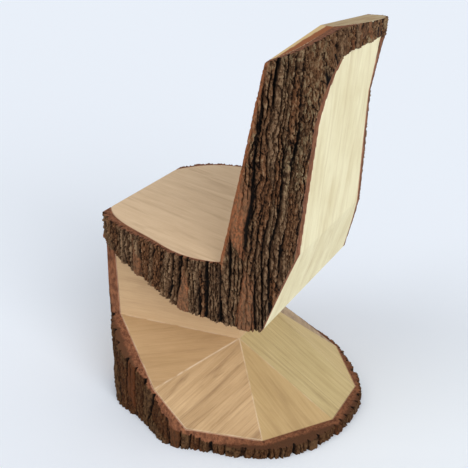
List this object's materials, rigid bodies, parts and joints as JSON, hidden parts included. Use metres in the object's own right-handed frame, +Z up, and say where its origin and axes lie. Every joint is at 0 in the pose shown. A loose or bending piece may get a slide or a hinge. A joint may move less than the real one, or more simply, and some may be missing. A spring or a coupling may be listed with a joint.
{
  "type": "log chair",
  "caption": "Free-standing chair sawn from a bark-covered log: flat seat, leaning back, central post under an overhanging seat and a faceted fan base.",
  "frame": {"origin": "on the floor under the log's axis, in the face the chair rests on", "axes": "+Z up; the sitter faces -Y; +X is the sitter's left"},
  "size_m": [0.5751, 0.5367, 0.8573],
  "materials": {
    "seat_wood": "sanded, clear satin",
    "back_wood": "sanded, clear satin",
    "post_wood": "sanded, clear satin",
    "base_wood": "sanded, clear satin",
    "rear_wedge_wood": "sanded, clear satin",
    "dowel_wood": "turned, glued",
    "bark": "rough furrowed bark, sealed matt"
  },
  "bodies": {
    "root": {"center_post": "post_wood", "seat_block": "seat_wood", "seat_side_plank": "seat_wood", "back_block": "back_wood", "base_rear_wedge": "rear_wedge_wood", "base_front_wedge_left": "base_wood", "base_side_wedge_left": "base_wood", "base_corner_wedge_left": "base_wood", "base_front_wedge_right": "base_wood", "base_side_wedge_right": "base_wood", "base_corner_wedge_right": "base_wood", "bark_post_left": "bark", "bark_seat_left": "bark", "bark_back_left": "bark", "bark_base_front_left": "bark", "bark_base_side_left": "bark", "bark_base_corner_left": "bark", "bark_post_right": "bark", "bark_seat_right": "bark", "bark_back_right": "bark", "bark_base_front_right": "bark", "bark_base_side_right": "bark", "bark_base_corner_right": "bark", "bark_base_rear": "bark", "post_to_seat_dowels": "dowel_wood", "post_to_base_dowels": "dowel_wood", "back_to_seat_dowels": "dowel_wood", "plank_dowels": "dowel_wood", "fan_dowels_left": "dowel_wood", "fan_dowels_right": "dowel_wood"}
  },
  "joints": []
}
